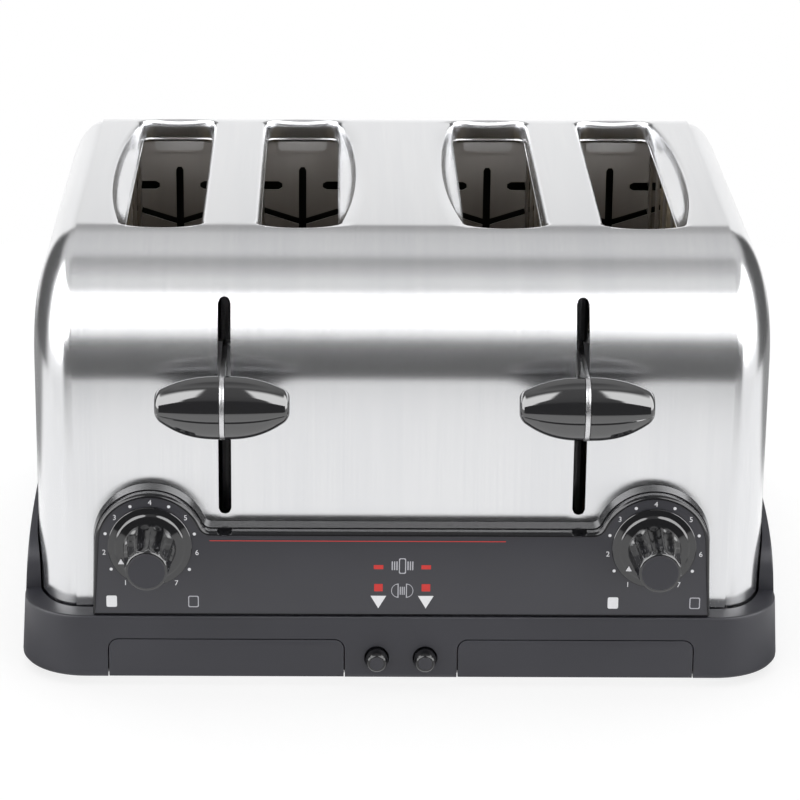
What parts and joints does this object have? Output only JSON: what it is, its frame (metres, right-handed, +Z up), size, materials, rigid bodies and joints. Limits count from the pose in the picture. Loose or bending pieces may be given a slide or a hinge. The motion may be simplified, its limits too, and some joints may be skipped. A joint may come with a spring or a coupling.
{
  "type": "pop-up toaster",
  "caption": "Countertop pop-up toaster with long bread slots, paired lever carriages, turning colour knobs, bagel buttons and pull-out crumb trays in a stainless wrap.",
  "frame": {"origin": "centre of the bounding box on the surface that the feet stand on", "axes": "+X to the right as seen from the front, +Y from the front to the back, +Z up"},
  "size_m": [0.3138, 0.3068, 0.181],
  "materials": {
    "satin_black_plastic": "satin moulded thermoplastic with a fine spark texture",
    "gloss_black_plastic": "polished phenolic",
    "printed_overlay": "satin polycarbonate overlay with printed scales",
    "brushed_stainless": "fine vertical brushing",
    "polished_stainless": "satin polish",
    "chamber_steel": "heat-darkened sheet",
    "plated_steel": "zinc plated",
    "black_rubber": "moulded",
    "mica": "layered mica board",
    "circuit_board": "solder-masked",
    "copper_winding": "lacquered copper wire"
  },
  "bodies": {
    "housing": {"base": "satin_black_plastic", "bagel_switch_left": "satin_black_plastic", "bagel_switch_right": "satin_black_plastic", "control_panel": "gloss_black_plastic", "panel_overlay": "printed_overlay", "shell": "brushed_stainless", "end_cap_left": "polished_stainless", "end_cap_right": "polished_stainless", "chamber_front": "chamber_steel", "chamber_back": "chamber_steel", "chamber_side_left": "chamber_steel", "chamber_side_right": "chamber_steel", "bottom_plate": "plated_steel", "potentiometer_left": "plated_steel", "potentiometer_right": "plated_steel", "guide_rod_left": "plated_steel", "guide_rod_right": "plated_steel", "lift_spring_left": "plated_steel", "lift_spring_right": "plated_steel", "cord_inlet": "black_rubber", "foot_front_left": "black_rubber", "foot_front_right": "black_rubber", "foot_back_left": "black_rubber", "foot_back_right": "black_rubber", "heater_left_outer": "mica", "heater_left_middle": "mica", "heater_left_inner": "mica", "heater_right_outer": "mica", "heater_right_middle": "mica", "heater_right_inner": "mica", "timer_board_left": "circuit_board", "timer_board_right": "circuit_board", "hold_magnet_left": "copper_winding", "hold_magnet_right": "copper_winding"},
    "lever_left": {"lever_arm_left": "plated_steel", "lever_grip_left_outer": "gloss_black_plastic", "lever_grip_left_inner": "gloss_black_plastic", "bread_rack_1": "plated_steel", "bread_rack_2": "plated_steel"},
    "color_knob_left": {"color_knob_left": "gloss_black_plastic"},
    "bagel_button_left": {"bagel_button_left": "gloss_black_plastic"},
    "crumb_tray_left": {"crumb_tray_left": "satin_black_plastic"},
    "lever_right": {"lever_arm_right": "plated_steel", "lever_grip_right_outer": "gloss_black_plastic", "lever_grip_right_inner": "gloss_black_plastic", "bread_rack_3": "plated_steel", "bread_rack_4": "plated_steel"},
    "color_knob_right": {"color_knob_right": "gloss_black_plastic"},
    "bagel_button_right": {"bagel_button_right": "gloss_black_plastic"},
    "crumb_tray_right": {"crumb_tray_right": "satin_black_plastic"},
    "bread_guard_1_left": {"bread_guard_1_left": "plated_steel"},
    "bread_guard_1_right": {"bread_guard_1_right": "plated_steel"},
    "bread_guard_2_left": {"bread_guard_2_left": "plated_steel"},
    "bread_guard_2_right": {"bread_guard_2_right": "plated_steel"},
    "bread_guard_3_left": {"bread_guard_3_left": "plated_steel"},
    "bread_guard_3_right": {"bread_guard_3_right": "plated_steel"},
    "bread_guard_4_left": {"bread_guard_4_left": "plated_steel"},
    "bread_guard_4_right": {"bread_guard_4_right": "plated_steel"}
  },
  "joints": [
    {"name": "lever_left_slide", "type": "slide", "parent": "housing", "child": "lever_left", "axis": [0, 0, 1], "range_m": [-0.05, 0.02], "stiffness_N_per_m": 180, "springref_m": 0.00586, "deforming": ["lift_spring_left"]},
    {"name": "color_knob_left_turn", "type": "hinge", "parent": "housing", "child": "color_knob_left", "pos_m": [-0.102, -0.12644, 0.061], "axis": [0, 1, 0], "range_deg": [-27, 266]},
    {"name": "bagel_button_left_push", "type": "slide", "parent": "housing", "child": "bagel_button_left", "axis": [0, 1, 0], "range_m": [0, 0.004], "stiffness_N_per_m": 300},
    {"name": "crumb_tray_left_slide", "type": "slide", "parent": "housing", "child": "crumb_tray_left", "axis": [0, -1, 0], "range_m": [0, 0.2]},
    {"name": "lever_right_slide", "type": "slide", "parent": "housing", "child": "lever_right", "axis": [0, 0, 1], "range_m": [-0.05, 0.02], "stiffness_N_per_m": 180, "springref_m": 0.00586, "deforming": ["lift_spring_right"]},
    {"name": "color_knob_right_turn", "type": "hinge", "parent": "housing", "child": "color_knob_right", "pos_m": [0.102, -0.12644, 0.061], "axis": [0, 1, 0], "range_deg": [-17, 276]},
    {"name": "bagel_button_right_push", "type": "slide", "parent": "housing", "child": "bagel_button_right", "axis": [0, 1, 0], "range_m": [0, 0.004], "stiffness_N_per_m": 300},
    {"name": "crumb_tray_right_slide", "type": "slide", "parent": "housing", "child": "crumb_tray_right", "axis": [0, -1, 0], "range_m": [0, 0.2]},
    {"name": "bread_guard_1_left_slide", "type": "slide", "parent": "housing", "child": "bread_guard_1_left", "axis": [0.9524, 0, -0.3048], "range_m": [-0.0016, 0.004]},
    {"name": "bread_guard_1_right_slide", "type": "slide", "parent": "housing", "child": "bread_guard_1_right", "axis": [-0.9524, 0, -0.3048], "range_m": [-0.0016, 0.004]},
    {"name": "bread_guard_2_left_slide", "type": "slide", "parent": "housing", "child": "bread_guard_2_left", "axis": [0.9524, 0, -0.3048], "range_m": [-0.0016, 0.004]},
    {"name": "bread_guard_2_right_slide", "type": "slide", "parent": "housing", "child": "bread_guard_2_right", "axis": [-0.9524, 0, -0.3048], "range_m": [-0.0016, 0.004]},
    {"name": "bread_guard_3_left_slide", "type": "slide", "parent": "housing", "child": "bread_guard_3_left", "axis": [0.9524, 0, -0.3048], "range_m": [-0.0016, 0.004]},
    {"name": "bread_guard_3_right_slide", "type": "slide", "parent": "housing", "child": "bread_guard_3_right", "axis": [-0.9524, 0, -0.3048], "range_m": [-0.0016, 0.004]},
    {"name": "bread_guard_4_left_slide", "type": "slide", "parent": "housing", "child": "bread_guard_4_left", "axis": [0.9524, 0, -0.3048], "range_m": [-0.0016, 0.004]},
    {"name": "bread_guard_4_right_slide", "type": "slide", "parent": "housing", "child": "bread_guard_4_right", "axis": [-0.9524, 0, -0.3048], "range_m": [-0.0016, 0.004]}
  ],
  "couplings": [
    {"joint": "bread_guard_1_left_slide", "follows": "lever_left_slide", "ratio": -0.08},
    {"joint": "bread_guard_1_right_slide", "follows": "lever_left_slide", "ratio": -0.08},
    {"joint": "bread_guard_2_left_slide", "follows": "lever_left_slide", "ratio": -0.08},
    {"joint": "bread_guard_2_right_slide", "follows": "lever_left_slide", "ratio": -0.08},
    {"joint": "bread_guard_3_left_slide", "follows": "lever_right_slide", "ratio": -0.08},
    {"joint": "bread_guard_3_right_slide", "follows": "lever_right_slide", "ratio": -0.08},
    {"joint": "bread_guard_4_left_slide", "follows": "lever_right_slide", "ratio": -0.08},
    {"joint": "bread_guard_4_right_slide", "follows": "lever_right_slide", "ratio": -0.08}
  ]
}
